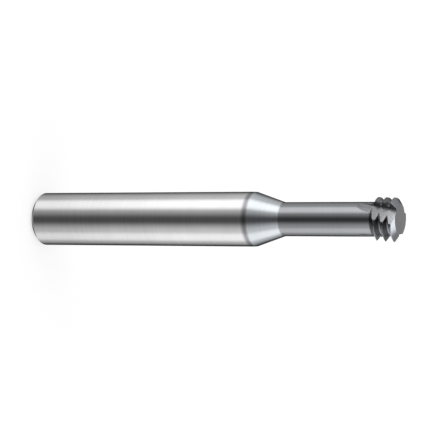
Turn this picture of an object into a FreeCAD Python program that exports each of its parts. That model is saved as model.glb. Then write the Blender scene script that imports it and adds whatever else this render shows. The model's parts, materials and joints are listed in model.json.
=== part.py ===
import FreeCAD, Part
import Sketcher
import math
import os

# Solid carbide thread mill for internal metric threads, ground from one rod.
# It stands on its back face: +Z is the tool axis, and the origin is the centre of that face.
# Looking down on the tip, angles grow anticlockwise, which is the way the cutting edges face.

NODE = "thread_mill"

SIZES = {
    # The blank, from the back face to the tip, in millimetres.
    "overall_length": 73.0,
    "shank_diameter": 10.0,
    "shank_length": 45.4,
    "back_chamfer": 0.8,
    "end_taper_length": 0.85,
    "end_taper_depth": 0.03,
    "cone_length": 5.6,
    "neck_diameter": 6.15,
    "neck_blend_radius": 0.6,
    # The ground thread form: full rings of teeth with no lead.
    "cutter_diameter": 8.2,
    "root_diameter": 6.1,
    "thread_pitch": 1.5,
    "thread_angle": 60.0,
    "crest_flat": 0.1,
    "tooth_rows": 3,
    "last_crest_to_tip": 0.7,
    "first_crest_to_neck": 0.9,
    # How far the thread form and the crests fall away behind a cutting edge: each is turned
    # about a centre that is moved off the tool axis.
    "form_relief": 0.27,
    "crest_relief_forward": 0.6,
    "crest_relief_across": 0.15,
    # The flutes: a radial rake wall on a right-hand helix, and a nearly flat floor that rises
    # from the tip until it runs out on the neck.
    "flute_count": 3,
    "flute_lead": 97.0,
    "edge_azimuth": 109.0,
    "core_distance": 2.45,
    "core_diameter": 4.4,
    "floor_slope": 4.75,
    "floor_radius": 13.75,
    "floor_azimuth": 3.9,
    "floor_lead": 435.0,
}

# How far a cut reaches past the metal, how deep a tooth is rooted, and the steps of a flute.
OVERTRAVEL = 0.6
ROOTED = 0.4
FLUTE_STATIONS = 8

# A land is turned from a little in front of its edge back to the next land's edge, in degrees.
# Its crests are ground back over most of that, and stop short of the next edge.
EDGE_LEAD_IN = 2.0
LAND_SWEEP = 122.0
RELIEF_SWEEP = 112.0

doc = FreeCAD.newDocument(NODE)


def make_sheet():
    sheet = doc.addObject("Spreadsheet::Sheet", "sizes")
    for row, (name, value) in enumerate(SIZES.items(), start=1):
        sheet.set(f"A{row}", name)
        sheet.set(f"B{row}", str(value))
        sheet.setAlias(f"B{row}", name)
    doc.recompute()
    return sheet


sheet = make_sheet()
body = doc.addObject("PartDesign::Body", NODE)
body.Label = NODE
doc.recompute()


def origin_plane(role):
    return next(item for item in body.Origin.OriginFeatures if item.Role == role)


def new_sketch(name, role):
    sketch = body.newObject("Sketcher::SketchObject", name)
    sketch.AttachmentSupport = [(origin_plane(role), "")]
    sketch.MapMode = "FlatFace"
    return sketch


def draw_outline(sketch, corners):
    """Close a polygon through corners whose places are expressions; 0 puts one on an axis."""
    count = len(corners)
    turns = [2 * math.pi * i / count for i in range(count)]
    points = [FreeCAD.Vector(20 + 10 * math.cos(turn), 20 + 10 * math.sin(turn), 0) for turn in turns]
    for i in range(count):
        sketch.addGeometry(Part.LineSegment(points[i], points[(i + 1) % count]), False)
    for i in range(count):
        sketch.addConstraint(Sketcher.Constraint("Coincident", i, 2, (i + 1) % count, 1))
    for i, (across, along) in enumerate(corners):
        for kind, place, axis in (("DistanceX", across, -2), ("DistanceY", along, -1)):
            if place == "0":
                sketch.addConstraint(Sketcher.Constraint("PointOnObject", i, 1, axis))
            else:
                index = sketch.addConstraint(Sketcher.Constraint(kind, i, 1, 10.0))
                sketch.setExpression(f"Constraints[{index}]", place)


def turn_about(feature_type, name, sketch, angle, clockwise):
    """Turn a sketch about its own vertical axis, by an angle in degrees."""
    feature = body.newObject(feature_type, name)
    feature.Profile = sketch
    feature.ReferenceAxis = (sketch, ["V_Axis"])
    feature.Angle = angle
    feature.Reversed = clockwise
    sketch.Visibility = False
    return feature


def polar_pattern(name, originals):
    pattern = body.newObject("PartDesign::PolarPattern", name)
    pattern.Originals = originals
    z_axis = next(item for item in body.Origin.OriginFeatures if item.Role == "Z_Axis")
    pattern.Axis = (z_axis, [""])
    pattern.Angle = 360
    pattern.setExpression("Occurrences", "sizes.flute_count")
    body.Tip = pattern
    doc.recompute()
    return pattern


# The turned blank: shank with its back chamfer, the short taper where the shank's grinding ends,
# the cone, the neck, and a core that the lands of the head are built around.
FIRST_CREST = "(sizes.overall_length - sizes.last_crest_to_tip - (sizes.tooth_rows - 1) * sizes.thread_pitch)"
HEAD_START = f"({FIRST_CREST} - sizes.first_crest_to_neck)"

blank_sketch = new_sketch("blank_outline", "XZ_Plane")
draw_outline(blank_sketch, [
    ("0", "0"),
    ("sizes.shank_diameter / 2 - sizes.back_chamfer", "0"),
    ("sizes.shank_diameter / 2", "sizes.back_chamfer"),
    ("sizes.shank_diameter / 2", "sizes.shank_length - sizes.end_taper_length"),
    ("sizes.shank_diameter / 2 - sizes.end_taper_depth", "sizes.shank_length"),
    ("sizes.neck_diameter / 2", "sizes.shank_length + sizes.cone_length"),
    ("sizes.neck_diameter / 2", HEAD_START),
    ("sizes.core_diameter / 2", HEAD_START),
    ("sizes.core_diameter / 2", "sizes.overall_length"),
    ("0", "sizes.overall_length"),
])
blank = turn_about("PartDesign::Revolution", "turned_blank", blank_sketch, 360, False)
doc.recompute()


def ring_edge(shape, radius, height):
    """The name of the round edge of this radius at this height."""
    for number, edge in enumerate(shape.Edges, start=1):
        curve = edge.Curve
        if isinstance(curve, Part.Circle):
            if abs(curve.Radius - radius) < 1e-4 and abs(curve.Center.z - height) < 1e-4:
                return f"Edge{number}"
    raise ValueError("no ring of that size")


# The wheel that grinds the neck leaves a small hollow radius at the foot of the cone.
neck_foot = sheet.shank_length + sheet.cone_length
blend = body.newObject("PartDesign::Fillet", "neck_blend")
blend.Base = (blank, [ring_edge(blank.Shape, sheet.neck_diameter / 2, neck_foot)])
blend.setExpression("Radius", "sizes.neck_blend_radius")
doc.recompute()


def eccentric_sketch(name, forward, across, edge, lead_in):
    """A sketch whose vertical axis is off the tool axis, turned to face a cutting edge.

    The centre is moved forward, towards the edge, and across, the way the edge faces."""
    sketch = new_sketch(name, "XZ_Plane")
    sketch.AttachmentOffset = FreeCAD.Placement(
        FreeCAD.Vector(0, 0, 0), FreeCAD.Rotation(FreeCAD.Vector(0, 1, 0), 10))
    sketch.setExpression("AttachmentOffset.Base.x", f"({forward}) * cos({edge}) - ({across}) * sin({edge})")
    sketch.setExpression("AttachmentOffset.Base.z", f"-({forward}) * sin({edge}) - ({across}) * cos({edge})")
    sketch.setExpression("AttachmentOffset.Rotation.Angle", f"({edge}) + {lead_in}")
    return sketch


def edge_angle(height):
    """The azimuth of the first cutting edge at a height, from the edge's place at the tip."""
    return f"-360 / sizes.flute_lead * (sizes.overall_length - ({height}))"


def edge_radius(diameter, forward, across):
    """The distance from an eccentric centre to a point of the edge on this diameter."""
    return f"sqrt(pow({diameter} / 2 - ({forward}); 2) + pow({across}; 2))"


# The radii of the thread form at the cutting edge, and the last flank's radius where it ends
# in the tip face.
crest_radius = edge_radius("sizes.cutter_diameter", "0", "sizes.form_relief")
root_radius = edge_radius("sizes.root_diameter", "0", "sizes.form_relief")
tip_flank = "(sizes.last_crest_to_tip - sizes.crest_flat / 2)"
tip_radius = f"({crest_radius} - {tip_flank} / tan(sizes.thread_angle / 2))"

# One land's root, from the neck to the tip: the valleys between the teeth lie on it. It tapers
# under the last tooth, whose flank alone meets the tip face.
head_middle = f"(({HEAD_START} + sizes.overall_length) / 2)"
land_sketch = eccentric_sketch("root_land_outline", "0", "sizes.form_relief",
                               edge_angle(head_middle), EDGE_LEAD_IN)
draw_outline(land_sketch, [
    ("sizes.core_diameter / 4", HEAD_START),
    (root_radius, HEAD_START),
    (root_radius, "sizes.overall_length - sizes.last_crest_to_tip"),
    (f"{tip_radius} - {ROOTED} / 2", "sizes.overall_length"),
    ("sizes.core_diameter / 4", "sizes.overall_length"),
])
root_land = turn_about("PartDesign::Revolution", "root_land", land_sketch, LAND_SWEEP, True)
doc.recompute()

# The teeth of that land, one ring segment to a row, each with its own edge on the helix.
teeth = []
for row in range(int(sheet.tooth_rows)):
    crest = f"(sizes.overall_length - sizes.last_crest_to_tip - {row} * sizes.thread_pitch)"
    foot_radius = f"({root_radius} - {ROOTED})"
    half_crest = "sizes.crest_flat / 2"
    half_foot = f"({half_crest} + ({crest_radius} - {foot_radius}) * tan(sizes.thread_angle / 2))"
    tooth_sketch = eccentric_sketch(f"tooth_outline_{row + 1}", "0", "sizes.form_relief",
                                    edge_angle(crest), EDGE_LEAD_IN)
    corners = [(foot_radius, f"{crest} - {half_foot}"), (crest_radius, f"{crest} - {half_crest}"),
               (crest_radius, f"{crest} + {half_crest}")]
    if row == 0:
        # The last tooth's flank ends in the tip face.
        corners.append((tip_radius, "sizes.overall_length"))
        corners.append((f"{tip_radius} - {ROOTED}", "sizes.overall_length"))
    else:
        corners.append((foot_radius, f"{crest} + {half_foot}"))
    draw_outline(tooth_sketch, corners)
    teeth.append(turn_about("PartDesign::Revolution", f"tooth_row_{row + 1}", tooth_sketch, LAND_SWEEP, True))
    doc.recompute()
lands = polar_pattern("lands", [root_land] + teeth)

# The crests are ground back further than the thread form, so they widen behind the edge.
relief_sketch = eccentric_sketch("crest_relief_outline", "sizes.crest_relief_forward",
                                 "sizes.crest_relief_across", edge_angle(head_middle), 0)
relief_radius = edge_radius("sizes.cutter_diameter", "sizes.crest_relief_forward",
                            "sizes.crest_relief_across")
draw_outline(relief_sketch, [
    (relief_radius, HEAD_START),
    (f"{relief_radius} + {OVERTRAVEL} + sizes.form_relief + sizes.crest_relief_forward", HEAD_START),
    (f"{relief_radius} + {OVERTRAVEL} + sizes.form_relief + sizes.crest_relief_forward",
     f"sizes.overall_length + {OVERTRAVEL}"),
    (relief_radius, f"sizes.overall_length + {OVERTRAVEL}"),
])
crest_relief = turn_about("PartDesign::Groove", "crest_relief", relief_sketch, RELIEF_SWEEP, True)
doc.recompute()


def flute_sketch(name, share):
    """One section of a flute; share runs from 0 past the tip to 1 past the run-out on the neck.

    It is bounded by the rake wall, the floor and an arc clear of the teeth."""
    sketch = new_sketch(name, "XY_Plane")
    run_out = "(sizes.neck_diameter / 2 - sizes.core_distance) / tan(sizes.floor_slope)"
    below_tip = f"({share} * ({run_out} + 2 * {OVERTRAVEL}) - {OVERTRAVEL})"
    sketch.setExpression("AttachmentOffset.Base.z", f"sizes.overall_length - {below_tip}")
    wall = f"-360 / sizes.flute_lead * {below_tip}"
    facing = f"(sizes.floor_azimuth - 360 / sizes.floor_lead * {below_tip})"
    distance = f"(sizes.core_distance + {below_tip} * tan(sizes.floor_slope))"
    clear = f"sizes.cutter_diameter / 2 + {OVERTRAVEL}"

    # A first guess of the section, which the constraints then hold to the sheet.
    run_out_now = (sheet.neck_diameter / 2 - sheet.core_distance) / math.tan(math.radians(sheet.floor_slope))
    below_now = share * (run_out_now + 2 * OVERTRAVEL) - OVERTRAVEL
    wall_now = math.radians(-360 / sheet.flute_lead * below_now)
    facing_now = math.radians(sheet.floor_azimuth - 360 / sheet.floor_lead * below_now)
    distance_now = sheet.core_distance + below_now * math.tan(math.radians(sheet.floor_slope))
    clear_now = sheet.cutter_diameter / 2 + OVERTRAVEL
    back = sheet.floor_radius - distance_now
    centre = FreeCAD.Vector(-back * math.cos(facing_now), -back * math.sin(facing_now), 0)

    def floor_at(azimuth):
        away = azimuth - facing_now
        reach = math.sqrt(sheet.floor_radius ** 2 - (back * math.sin(away)) ** 2) - back * math.cos(away)
        return FreeCAD.Vector(reach * math.cos(azimuth), reach * math.sin(azimuth), 0)

    meet = (clear_now ** 2 + back ** 2 - sheet.floor_radius ** 2) / (2 * clear_now * back)
    heel_azimuth = facing_now + math.acos(-meet)
    corner = floor_at(wall_now)
    heel = FreeCAD.Vector(clear_now * math.cos(heel_azimuth), clear_now * math.sin(heel_azimuth), 0)
    top = FreeCAD.Vector(clear_now * math.cos(wall_now), clear_now * math.sin(wall_now), 0)
    up = FreeCAD.Vector(0, 0, 1)
    floor_circle = Part.Circle(centre, up, sheet.floor_radius)
    clear_circle = Part.Circle(FreeCAD.Vector(0, 0, 0), up, clear_now)
    sketch.addGeometry(Part.LineSegment(corner, top), False)
    sketch.addGeometry(Part.ArcOfCircle(floor_circle, floor_circle.parameter(corner),
                                        floor_circle.parameter(heel)), False)
    sketch.addGeometry(Part.ArcOfCircle(clear_circle, wall_now, heel_azimuth), False)
    for first, second in (((0, 1), (1, 1)), ((1, 2), (2, 2)), ((2, 1), (0, 2))):
        sketch.addConstraint(Sketcher.Constraint("Coincident", *first, *second))
    sketch.addConstraint(Sketcher.Constraint("Coincident", 2, 3, -1, 1))
    sketch.addConstraint(Sketcher.Constraint("PointOnObject", -1, 1, 0))
    for constraint, value in (
            (Sketcher.Constraint("Angle", -1, 1, 0, 1, wall_now), wall),
            (Sketcher.Constraint("Radius", 1, sheet.floor_radius), "sizes.floor_radius"),
            (Sketcher.Constraint("Radius", 2, clear_now), clear),
            (Sketcher.Constraint("DistanceX", 1, 3, centre.x),
             f"-(sizes.floor_radius - {distance}) * cos({facing})"),
            (Sketcher.Constraint("DistanceY", 1, 3, centre.y),
             f"-(sizes.floor_radius - {distance}) * sin({facing})")):
        index = sketch.addConstraint(constraint)
        sketch.setExpression(f"Constraints[{index}]", value)
    sketch.Visibility = False
    return sketch


# The flutes, ground through the lands and out onto the neck.
sections = [flute_sketch(f"flute_section_{i + 1}", i / (FLUTE_STATIONS - 1)) for i in range(FLUTE_STATIONS)]
doc.recompute()
flute = body.newObject("PartDesign::SubtractiveLoft", "flute")
flute.Profile = sections[0]
flute.Sections = sections[1:]
flute.Ruled = False
doc.recompute()
flutes = polar_pattern("flutes", [crest_relief, flute])

# The first cutting edge's place round the tool.
body.Placement = FreeCAD.Placement(FreeCAD.Vector(0, 0, 0), FreeCAD.Rotation(FreeCAD.Vector(0, 0, 1), 10))
body.setExpression("Placement.Rotation.Angle", "sizes.edge_azimuth")
doc.recompute()


def check_model():
    for item in doc.Objects:
        state = [word for word in item.State if word in ("Invalid", "Error")]
        if state:
            raise RuntimeError(f"{item.Name} failed: {state}")
    shape = body.Shape
    if shape.isNull() or not shape.isValid() or len(shape.Solids) != 1:
        raise RuntimeError("the thread mill is not one valid solid")


check_model()
os.makedirs("parts", exist_ok=True)
body.Shape.exportStep(f"parts/{NODE}.step")
print(NODE, "volume", round(body.Shape.Volume, 3), "box", body.Shape.BoundBox)
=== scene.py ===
import json
import math

import bmesh
import bpy
from mathutils import Matrix, Vector

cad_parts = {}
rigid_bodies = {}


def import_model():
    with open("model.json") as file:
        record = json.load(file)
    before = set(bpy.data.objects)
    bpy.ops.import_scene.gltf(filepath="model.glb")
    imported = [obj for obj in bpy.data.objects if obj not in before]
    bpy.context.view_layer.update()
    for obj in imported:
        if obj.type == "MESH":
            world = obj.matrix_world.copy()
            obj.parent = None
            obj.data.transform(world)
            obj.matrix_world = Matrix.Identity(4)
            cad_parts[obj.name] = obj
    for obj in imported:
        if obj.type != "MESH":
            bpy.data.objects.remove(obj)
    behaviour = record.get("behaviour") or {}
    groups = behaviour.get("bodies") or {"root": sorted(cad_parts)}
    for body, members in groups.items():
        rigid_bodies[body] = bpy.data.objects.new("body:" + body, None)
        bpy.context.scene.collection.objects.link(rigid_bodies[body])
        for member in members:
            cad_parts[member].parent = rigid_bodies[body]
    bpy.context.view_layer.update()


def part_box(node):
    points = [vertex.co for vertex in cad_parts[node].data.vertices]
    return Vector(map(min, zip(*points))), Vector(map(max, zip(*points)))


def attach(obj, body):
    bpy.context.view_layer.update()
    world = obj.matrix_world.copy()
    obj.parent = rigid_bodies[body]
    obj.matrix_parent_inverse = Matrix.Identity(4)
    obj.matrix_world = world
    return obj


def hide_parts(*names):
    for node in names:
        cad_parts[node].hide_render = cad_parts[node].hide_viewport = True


for startup in list(bpy.data.objects):
    bpy.data.objects.remove(startup)
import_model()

# The blank. The thread mill is one rod of sintered tungsten carbide, ground all over and left
# uncoated: a plain shank for the collet, a cone, a slim neck that reaches into the hole, and
# the core of the head. Its outline is spun round the axis. Sizes are in millimetres.
MM = 0.001
node_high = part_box("thread_mill")[1]
TIP_HEIGHT = node_high.z / MM
SHANK_RADIUS = node_high.x / MM
SHANK_LENGTH = 45.4
BACK_CHAMFER = 0.8
BACK_BREAK = 0.08
EDGE_BREAK = 0.05
CORNER_SEGMENTS = 10
TAPER_LENGTH = 0.85
TAPER_DEPTH = 0.03
CONE_LENGTH = 5.6
CONE_END = SHANK_LENGTH + CONE_LENGTH
NECK_RADIUS = 3.075
NECK_BLEND = 0.6
NECK_CUTS = 80
CORE_RADIUS = 2.2
PITCH = 1.5
ROWS = 3
LAST_CREST_TO_TIP = 0.7
FIRST_CREST_TO_NECK = 0.9
LAST_CREST = TIP_HEIGHT - LAST_CREST_TO_TIP
HEAD_START = LAST_CREST - (ROWS - 1) * PITCH - FIRST_CREST_TO_NECK
OVERTRAVEL = 0.6
STEPS_PER_TURN = 256
SAME_POINT = 1e-5


class Nodes:
    def __init__(self, tree):
        self.tree = tree

    def add(self, kind, inputs=None, **settings):
        node = self.tree.nodes.new(kind)
        for name, value in settings.items():
            setattr(node, name, value)
        for socket, value in (inputs or {}).items():
            if isinstance(value, bpy.types.NodeSocket):
                self.tree.links.new(value, node.inputs[socket])
            else:
                node.inputs[socket].default_value = value
        return node.outputs[0]

    def math(self, operation, *values):
        return self.add("ShaderNodeMath", dict(enumerate(values)), operation=operation)

    def ramp(self, value, low, high, at_low, at_high, smooth=True):
        return self.add("ShaderNodeMapRange", {"Value": value, "From Min": low, "From Max": high,
                                               "To Min": at_low, "To Max": at_high},
                        interpolation_type="SMOOTHSTEP" if smooth else "LINEAR")


# Ground carbide: grey by height, with the wheel's fine marks in its colour, gloss and relief.
def ground_finish(name, colours, roughness, marks, contrast):
    material = bpy.data.materials.new(name)
    material.use_nodes = True
    nodes = Nodes(material.node_tree)
    shader = material.node_tree.nodes["Principled BSDF"]
    place = material.node_tree.nodes.new("ShaderNodeTexCoord").outputs["Object"]
    height = nodes.add("ShaderNodeSeparateXYZ", {0: place}).node.outputs["Z"]
    zones = nodes.add("ShaderNodeValToRGB", {"Fac": nodes.math("DIVIDE", height, TIP_HEIGHT * MM)}).node
    stops = zones.color_ramp.elements
    for number, (level, colour) in enumerate(colours):
        stop = stops[number] if number < len(stops) else stops.new(level / TIP_HEIGHT)
        stop.position = level / TIP_HEIGHT
        stop.color = (*colour, 1)
    along = nodes.add("ShaderNodeMapping", {"Vector": place, "Scale": marks})
    wheel_marks = nodes.add("ShaderNodeTexNoise", {"Vector": along, "Scale": 1.0, "Detail": 6.0,
                                                   "Roughness": 0.6})
    cloudy = nodes.add("ShaderNodeTexNoise", {"Vector": place, "Scale": 180.0, "Detail": 2.0})
    shade = nodes.math("MULTIPLY", nodes.ramp(wheel_marks, 0.3, 0.7, 1 - contrast, 1 + contrast),
                       nodes.ramp(cloudy, 0.3, 0.7, 0.97, 1.03))
    tint = nodes.add("ShaderNodeVectorMath", {0: zones.outputs["Color"], "Scale": shade}, operation="SCALE")
    nodes.tree.links.new(tint, shader.inputs["Base Color"])
    rough = nodes.ramp(wheel_marks, 0.3, 0.7, roughness * 0.85, roughness * 1.15)
    nodes.tree.links.new(rough, shader.inputs["Roughness"])
    shader.inputs["Metallic"].default_value = 1.0
    bump = nodes.add("ShaderNodeBump", {"Height": wheel_marks, "Strength": 0.2, "Distance": 0.000005})
    nodes.tree.links.new(bump, shader.inputs["Normal"])
    return material


# The shank is ground brightest. Where it ends, on its short taper, a band of painted shade stands for that
# slope's darker reflection. The neck and the head are duller than the cone. The gap before the first teeth is
# darkest, with painted shade, the middle row of teeth is darkened with painted shade, and the last flank
# shines with a painted highlight.
SHANK_GREY = (0.6, 0.595, 0.6)
# The three band greys are painted shade: the darker reflection of the shank's short tapered end.
BAND_SHADE_LIGHT_GREY = (0.33, 0.325, 0.34)
BAND_SHADE_MIDDLE_GREY = (0.236, 0.231, 0.243)
BAND_SHADE_GREY = (0.175, 0.17, 0.18)
CONE_GREY = (0.52, 0.545, 0.572)
NECK_GREY = (0.277, 0.282, 0.293)
# Painted shade in the gap between the neck and the first teeth.
GAP_SHADE_GREY = (0.1, 0.103, 0.108)
HEAD_GREY = (0.262, 0.267, 0.276)
# Painted shade that darkens the middle row of teeth.
MIDDLE_ROW_SHADE_GREY = (0.195, 0.198, 0.204)
# Painted highlight on the last flank, next to the tip.
LAST_FLANK_HIGHLIGHT_GREY = (0.35, 0.37, 0.395)
MIDDLE_ROW = LAST_CREST - PITCH
body_metal = ground_finish("ground_body", [
    (SHANK_LENGTH - 1.0, SHANK_GREY),
    # Painted shade on the shank's tapered end.
    (SHANK_LENGTH - 0.82, BAND_SHADE_LIGHT_GREY),
    (SHANK_LENGTH - 0.35, BAND_SHADE_MIDDLE_GREY),
    (SHANK_LENGTH - 0.1, BAND_SHADE_GREY),
    (SHANK_LENGTH, CONE_GREY),
    (CONE_END - 0.25, CONE_GREY),
    (CONE_END - 0.02, NECK_GREY),
    (HEAD_START - 0.22, NECK_GREY),
    # Painted shade before the first teeth.
    (HEAD_START - 0.06, GAP_SHADE_GREY),
    (HEAD_START + 0.45, GAP_SHADE_GREY),
    (HEAD_START + 0.75, HEAD_GREY),
    (MIDDLE_ROW - 0.8, HEAD_GREY),
    # Painted shade on the middle row of teeth.
    (MIDDLE_ROW - 0.6, MIDDLE_ROW_SHADE_GREY),
    (MIDDLE_ROW + 0.6, MIDDLE_ROW_SHADE_GREY),
    (MIDDLE_ROW + 0.8, HEAD_GREY),
    (LAST_CREST - 0.05, HEAD_GREY),
    # Painted highlight on the last flank.
    (LAST_CREST + 0.1, LAST_FLANK_HIGHLIGHT_GREY),
], roughness=0.15, marks=(25, 25, 2500), contrast=0.03)


def finished_object(name, bm, *materials):
    mesh = bpy.data.meshes.new(name)
    bmesh.ops.recalc_face_normals(bm, faces=bm.faces)
    bm.to_mesh(mesh)
    bm.free()
    for material in materials:
        mesh.materials.append(material)
    made = bpy.data.objects.new(name, mesh)
    bpy.context.scene.collection.objects.link(made)
    return made


# The corners are broken before the outline is spun. The neck, the longest line above the
# shank, is divided finely, so that it can be twisted with the flutes that run out on it.
def turned_blank():
    cone_slope = math.atan2(SHANK_RADIUS - NECK_RADIUS, CONE_LENGTH)
    corners = [
        (0, 0, 0),
        (SHANK_RADIUS - BACK_CHAMFER, 0, EDGE_BREAK),
        (SHANK_RADIUS, BACK_CHAMFER, BACK_BREAK),
        (SHANK_RADIUS, SHANK_LENGTH - TAPER_LENGTH, 0),
        (SHANK_RADIUS - TAPER_DEPTH, SHANK_LENGTH, EDGE_BREAK),
        (NECK_RADIUS, CONE_END, NECK_BLEND * math.tan(cone_slope / 2)),
        (NECK_RADIUS, HEAD_START, 0),
        (CORE_RADIUS, HEAD_START, 0),
        (CORE_RADIUS, TIP_HEIGHT + OVERTRAVEL, 0),
        (0, TIP_HEIGHT + OVERTRAVEL, 0),
    ]
    bm = bmesh.new()
    points = [bm.verts.new((radius, 0, height)) for radius, height, _ in corners]
    for first, second in zip(points, points[1:]):
        bm.edges.new((first, second))
    for point, (_, _, size) in zip(points, corners):
        if size:
            bmesh.ops.bevel(bm, geom=[point], offset=size, offset_type="OFFSET", segments=CORNER_SEGMENTS,
                            profile=0.5, affect="VERTICES", material=-1)
    above_shank = [edge for edge in bm.edges if edge.verts[0].co.z > SHANK_LENGTH]
    neck = max(above_shank, key=lambda edge: edge.calc_length())
    bmesh.ops.subdivide_edges(bm, edges=[neck], cuts=NECK_CUTS)
    bmesh.ops.spin(bm, geom=bm.verts[:] + bm.edges[:], cent=(0, 0, 0), axis=(0, 0, 1),
                   angle=2 * math.pi, steps=STEPS_PER_TURN, use_merge=True)
    bmesh.ops.remove_doubles(bm, verts=bm.verts, dist=SAME_POINT)
    return finished_object("blank", bm, body_metal)


# The lands, three of them, each with three V teeth: flanks at 60 degrees to each other, a
# narrow flat crest and a flat root. A land is spun about a centre beside the tool's axis, from
# a little ahead of its cutting edge, so that it falls away behind the edge.
CREST_RADIUS = 4.1
ROOT_RADIUS = 3.05
HALF_CREST = 0.05
FLANK_RISE = math.tan(math.radians(60))
FORM_RELIEF = 0.27
LAND_LEAD_IN = 16
LAND_SWEEP = 136


def from_centre(radius, forward, across):
    return math.hypot(radius - forward, across)


def spun_back(name, outline, forward, across, lead_in, sweep):
    bm = bmesh.new()
    points = [bm.verts.new((radius, 0, height)) for radius, height in outline]
    face = bm.faces.new(points)
    ahead = Matrix.Rotation(math.radians(lead_in), 3, "Z")
    bmesh.ops.rotate(bm, verts=bm.verts, cent=(0, 0, 0), matrix=ahead)
    bmesh.ops.spin(bm, geom=bm.verts[:] + bm.edges[:] + [face], cent=(0, 0, 0), axis=(0, 0, -1),
                   angle=math.radians(sweep), steps=math.ceil(STEPS_PER_TURN * sweep / 360))
    bmesh.ops.translate(bm, verts=bm.verts, vec=(forward, across, 0))
    return finished_object(name, bm, body_metal)


def toothed_land(name):
    crest = from_centre(CREST_RADIUS, 0, FORM_RELIEF)
    root = from_centre(ROOT_RADIUS, 0, FORM_RELIEF)
    inside_core = CORE_RADIUS / 2
    flank = (crest - root) / FLANK_RISE
    outline = [(inside_core, HEAD_START - OVERTRAVEL), (root, HEAD_START - OVERTRAVEL)]
    for row in reversed(range(ROWS)):
        height = LAST_CREST - row * PITCH
        outline.append((root, height - HALF_CREST - flank))
        outline.append((crest, height - HALF_CREST))
        outline.append((crest, height + HALF_CREST))
        if row:
            outline.append((root, height + HALF_CREST + flank))
    past_tip = TIP_HEIGHT + OVERTRAVEL / 2
    outline.append((crest - (past_tip - (LAST_CREST + HALF_CREST)) * FLANK_RISE, past_tip))
    outline.append((inside_core, past_tip))
    return spun_back(name, outline, 0, FORM_RELIEF, LAND_LEAD_IN, LAND_SWEEP)


# The crest relief. A second grind, about a centre further off the axis, drops each crest a
# little more behind its edge. This is the space that its wheel takes away.
CREST_RELIEF_FORWARD = 0.6
CREST_RELIEF_ACROSS = 0.15
CREST_SWEEP = 112
WHEEL_DEPTH = 2


def crest_grinder(name):
    inside = from_centre(CREST_RADIUS, CREST_RELIEF_FORWARD, CREST_RELIEF_ACROSS)
    outside = inside + WHEEL_DEPTH
    past_tip = TIP_HEIGHT + OVERTRAVEL
    outline = [(inside, HEAD_START), (outside, HEAD_START), (outside, past_tip), (inside, past_tip)]
    return spun_back(name, outline, CREST_RELIEF_FORWARD, CREST_RELIEF_ACROSS, 0, CREST_SWEEP)


# The flutes. Each is the space that a wheel takes away before the head is twisted: a flat rake
# wall through the axis, and a nearly flat floor that climbs from the tip and runs out on the
# neck. The floor keeps the wheel's rough marks along it, and grows lighter towards the tip as a
# painted highlight. The rake wall is finer, and darker with painted shade from the flute's corner.
FLUTES = 3
TWIST_PER_MM = 2 * math.pi / 97
FLOOR_TWIST_PER_MM = TWIST_PER_MM - 2 * math.pi / 180
FLOOR_RADIUS = 13.75
FLOOR_DISTANCE = 2.45
FLOOR_SLOPE = math.tan(math.radians(4.75))
FLOOR_AZIMUTH = math.radians(3.9)
FLUTE_RUN_OUT = (NECK_RADIUS - FLOOR_DISTANCE) / FLOOR_SLOPE
FLUTE_SECTIONS = 40
FLOOR_POINTS = 40
CLEAR_POINTS = 8
CLEAR_MARGIN = 1.3
ON_THE_WALL = 1e-4
flute_metal = ground_finish("ground_flute", [
    (HEAD_START, (0.228, 0.23, 0.237)),
    # The floor grows lighter towards the tip as a painted highlight.
    (TIP_HEIGHT - 2.4, (0.24, 0.242, 0.249)),
    (TIP_HEIGHT, (0.41, 0.414, 0.428)),
], roughness=0.42, marks=(7000, 7000, 1600), contrast=0.35)
# The rake wall's darker grey is painted shade from the corner of the flute, lighter towards the tip.
shaded_rake_metal = ground_finish("ground_rake_shaded", [
    (HEAD_START, (0.2, 0.202, 0.205)),
    (TIP_HEIGHT, (0.31, 0.312, 0.315)),
], roughness=0.3, marks=(7000, 7000, 1600), contrast=0.16)


def flute_ring(bm, below_tip):
    facing = FLOOR_AZIMUTH + FLOOR_TWIST_PER_MM * below_tip
    back = FLOOR_RADIUS - FLOOR_DISTANCE - below_tip * FLOOR_SLOPE
    clear = CREST_RADIUS + OVERTRAVEL
    heel = facing + math.acos((FLOOR_RADIUS ** 2 - clear ** 2 - back ** 2) / (2 * clear * back))
    ring = []
    for i in range(FLOOR_POINTS):
        azimuth = heel * i / (FLOOR_POINTS - 1)
        away = azimuth - facing
        reach = math.sqrt(FLOOR_RADIUS ** 2 - (back * math.sin(away)) ** 2) - back * math.cos(away)
        ring.append((reach * math.cos(azimuth), reach * math.sin(azimuth)))
    outside = CLEAR_MARGIN * clear
    for i in range(CLEAR_POINTS):
        azimuth = heel * (1 - (i + 1) / CLEAR_POINTS)
        ring.append((outside * math.cos(azimuth), outside * math.sin(azimuth)))
    points = [bm.verts.new((x, y, TIP_HEIGHT - below_tip)) for x, y in ring]
    return [bm.edges.new((points[i - 1], points[i])) for i in range(len(points))]


def flute_grinder(name):
    bm = bmesh.new()
    length = FLUTE_RUN_OUT + 2 * OVERTRAVEL
    rings = [flute_ring(bm, length * i / (FLUTE_SECTIONS - 1) - OVERTRAVEL) for i in range(FLUTE_SECTIONS)]
    for first, second in zip(rings, rings[1:]):
        bmesh.ops.bridge_loops(bm, edges=first + second)
    bmesh.ops.contextual_create(bm, geom=rings[0])
    bmesh.ops.contextual_create(bm, geom=rings[-1])
    for face in bm.faces:
        on_wall = all(abs(point.co.y) < ON_THE_WALL and point.co.x > 0 for point in face.verts)
        face.material_index = int(on_wall)
    return finished_object(name, bm, flute_metal, shaded_rake_metal)


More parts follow.
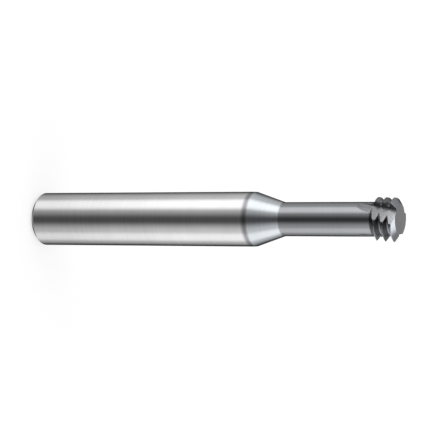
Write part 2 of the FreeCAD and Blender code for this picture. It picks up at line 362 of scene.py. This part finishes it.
# The grinding, in the order of the real one: the lands stand on the core, their crests are
# relieved, and the flutes are cut last. Each is done three times round the tool.
tool = turned_blank()
grinders = []
for operation, kind, shape in (("UNION", "land", toothed_land), ("DIFFERENCE", "crest", crest_grinder),
                               ("DIFFERENCE", "flute", flute_grinder)):
    for number in range(FLUTES):
        grinder = shape(f"{kind}_{number}")
        grinder.data.transform(Matrix.Rotation(2 * math.pi * number / FLUTES, 4, "Z"))
        step = tool.modifiers.new(grinder.name, "BOOLEAN")
        step.operation = operation
        step.solver = "EXACT"
        step.object = grinder
        step.material_mode = "TRANSFER"
        grinders.append(grinder)

depsgraph = bpy.context.evaluated_depsgraph_get()
ground = bpy.data.meshes.new_from_object(tool.evaluated_get(depsgraph))
ground.name = "thread_mill"
for made in [tool, *grinders]:
    bpy.data.objects.remove(made)

# The tip and the twist. The tip is cut off square and left with a flat face, ground one way
# across. Then the head and the neck are twisted into the right-hand helix of the flutes, and
# the finished tool takes the place of the plain solid.
EDGE_AZIMUTH = math.radians(109)
SLIVER = 2e-4
SHARP_ANGLE = math.radians(3)
FACE_GREY = (0.331, 0.326, 0.334)
face_metal = ground_finish("ground_face", [
    (HEAD_START, FACE_GREY),
    (TIP_HEIGHT, FACE_GREY),
], roughness=0.35, marks=(400, 7000, 400), contrast=0.06)


def twisted(place):
    below_tip = min(TIP_HEIGHT - place.z, TIP_HEIGHT - CONE_END)
    return Matrix.Rotation(EDGE_AZIMUTH - TWIST_PER_MM * below_tip, 3, "Z") @ place


bm = bmesh.new()
bm.from_mesh(ground)
bmesh.ops.bisect_plane(bm, geom=bm.verts[:] + bm.edges[:] + bm.faces[:], plane_co=(0, 0, TIP_HEIGHT),
                       plane_no=(0, 0, 1), clear_outer=True)
rim = [edge for edge in bm.edges if edge.is_boundary]
tip_face = bmesh.ops.contextual_create(bm, geom=rim)["faces"]
for face in tip_face:
    face.material_index = len(ground.materials)
for point in bm.verts:
    point.co = twisted(point.co)
bmesh.ops.remove_doubles(bm, verts=bm.verts, dist=SLIVER)
bmesh.ops.recalc_face_normals(bm, faces=bm.faces)
for face in bm.faces:
    face.smooth = True
for edge in bm.edges:
    edge.smooth = edge.is_manifold and edge.calc_face_angle() < SHARP_ANGLE
bmesh.ops.scale(bm, verts=bm.verts, vec=(MM, MM, MM))
bm.to_mesh(ground)
bm.free()
ground.materials.append(face_metal)
tool = bpy.data.objects.new("carbide_tool", ground)
bpy.context.scene.collection.objects.link(tool)
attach(tool, "root")
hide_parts("thread_mill")


# The photograph's view. The tool lies across the picture there with its tip to the right, so
# the camera looks down on the standing tool and is turned on its side.
TILT = math.radians(26.2)
DISTANCE = 327.94
LOOKED_AT = Vector((-0.753, -0.058, 36.952))
FOCAL_PIXELS = 1786.6
PICTURE_PIXELS = 430
SENSOR_WIDTH = 36
lens = bpy.data.cameras.new("photograph_view")
lens.sensor_width = SENSOR_WIDTH
lens.lens = FOCAL_PIXELS / PICTURE_PIXELS * SENSOR_WIDTH
lens.clip_start = 0.01
lens.clip_end = 10
camera = bpy.data.objects.new("photograph_view", lens)
bpy.context.scene.collection.objects.link(camera)
across = Vector((0, math.sin(TILT), math.cos(TILT)))
upward = Vector((-1, 0, 0))
backward = Vector((0, -math.cos(TILT), math.sin(TILT)))
camera.matrix_world = (Matrix.Translation((LOOKED_AT + DISTANCE * backward) * MM)
                       @ Matrix((across, upward, backward)).transposed().to_4x4())
bpy.context.scene.camera = camera


# The floor, matt and pale. Its own grey takes the tent's light and the tool's soft shadow, and
# a glow that only the camera sees brings it up to white. The metal doesn't mirror it.
FLOOR_GREY = (0.25, 0.25, 0.25, 1)
FLOOR_GLOW = 0.7
floor_material = bpy.data.materials.new("pale_floor")
floor_material.use_nodes = True
matt = floor_material.node_tree.nodes["Principled BSDF"]
matt.inputs["Base Color"].default_value = FLOOR_GREY
matt.inputs["Roughness"].default_value = 1.0
matt.inputs["Specular IOR Level"].default_value = 0.0
matt.inputs["Emission Color"].default_value = (1, 1, 1, 1)
floor_nodes = Nodes(floor_material.node_tree)
floor_seen = floor_material.node_tree.nodes.new("ShaderNodeLightPath").outputs["Is Camera Ray"]
glow = floor_nodes.math("MULTIPLY", floor_seen, FLOOR_GLOW)
floor_material.node_tree.links.new(glow, matt.inputs["Emission Strength"])
bm = bmesh.new()
bmesh.ops.create_circle(bm, cap_ends=True, segments=96, radius=3.0)
floor_mesh = bpy.data.meshes.new("floor")
bm.to_mesh(floor_mesh)
bm.free()
floor_mesh.materials.append(floor_material)
floor = bpy.data.objects.new("floor", floor_mesh)
floor.visible_glossy = False
bpy.context.scene.collection.objects.link(floor)


# The light tent, round the whole scene and soft all over. Tall panels at its sides give the
# ground metal its long bright bands, with darkness between them where the camera looks in. The
# camera itself sees plain white.
DARKEST = 0.05
OVERHEAD = 2.3
UNDERNEATH = 0.5
world = bpy.data.worlds.new("light_tent")
bpy.context.scene.world = world
world.use_nodes = True
tent = Nodes(world.node_tree)
background = world.node_tree.nodes["Background"]
looking = tent.tree.nodes.new("ShaderNodeTexCoord").outputs["Generated"]
rise = tent.add("ShaderNodeSeparateXYZ", {0: looking}).node.outputs["Z"]

# The panels turn a little with height: not at all at the height that the shank and the neck
# mirror, and more at the height that the cone mirrors.
lean = tent.ramp(rise, -0.44, 0.56, 0.0, 0.02, smooth=False)
lean = tent.add("ShaderNodeCombineXYZ", {"Y": lean})
level = tent.add("ShaderNodeVectorMath", {0: looking, 1: (1, 1, 0)}, operation="MULTIPLY")
level = tent.add("ShaderNodeVectorMath", {0: level, 1: lean}, operation="ADD")
level = tent.add("ShaderNodeVectorMath", {0: level}, operation="NORMALIZE")


# A panel's azimuth is counted from the camera's side. It is at full strength within the first
# angle, and gone at the second. All three are in degrees.
def panel(azimuth, full, gone, strength):
    turn = math.radians(azimuth)
    towards = (math.sin(turn), -math.cos(turn), 0)
    facing = tent.add("ShaderNodeVectorMath", {0: level, 1: towards}, operation="DOT_PRODUCT")
    facing = facing.node.outputs["Value"]
    return tent.ramp(facing, math.cos(math.radians(gone)), math.cos(math.radians(full)), 0.0, strength)


left = tent.math("ADD", panel(-80, full=0, gone=78, strength=0.8), panel(-67, full=0, gone=32, strength=0.97))
right = tent.math("ADD", panel(79, full=0, gone=71, strength=0.89), panel(84, full=0, gone=29, strength=0.55))
above_foot = tent.ramp(rise, -0.65, -0.38, 0.5, 1.0)
sides = tent.math("MULTIPLY", tent.math("ADD", left, right), above_foot)
above_level = tent.ramp(rise, 0.0, 0.35, 0.0, 1.0)
behind = tent.math("MULTIPLY", panel(180, full=10, gone=70, strength=0.42), above_level)
front = tent.math("ADD", panel(0, full=30, gone=130, strength=0.05), DARKEST)
walls = tent.math("ADD", tent.math("ADD", sides, behind), front)
upwards = tent.ramp(rise, 0.7, 0.95, 0.0, 1.0)
roofed = tent.add("ShaderNodeMix", {"Factor": upwards, "A": walls, "B": OVERHEAD})
downwards = tent.ramp(rise, -0.9, -0.75, 1.0, 0.0)
tent_light = tent.add("ShaderNodeMix", {"Factor": downwards, "A": roofed, "B": UNDERNEATH})
tent_seen = tent.tree.nodes.new("ShaderNodeLightPath").outputs["Is Camera Ray"]
strength = tent.add("ShaderNodeMix", {"Factor": tent_seen, "A": tent_light, "B": 1.0})
world.node_tree.links.new(strength, background.inputs["Strength"])
background.inputs["Color"].default_value = (1, 1, 1, 1)

bpy.context.scene.view_settings.view_transform = "Standard"
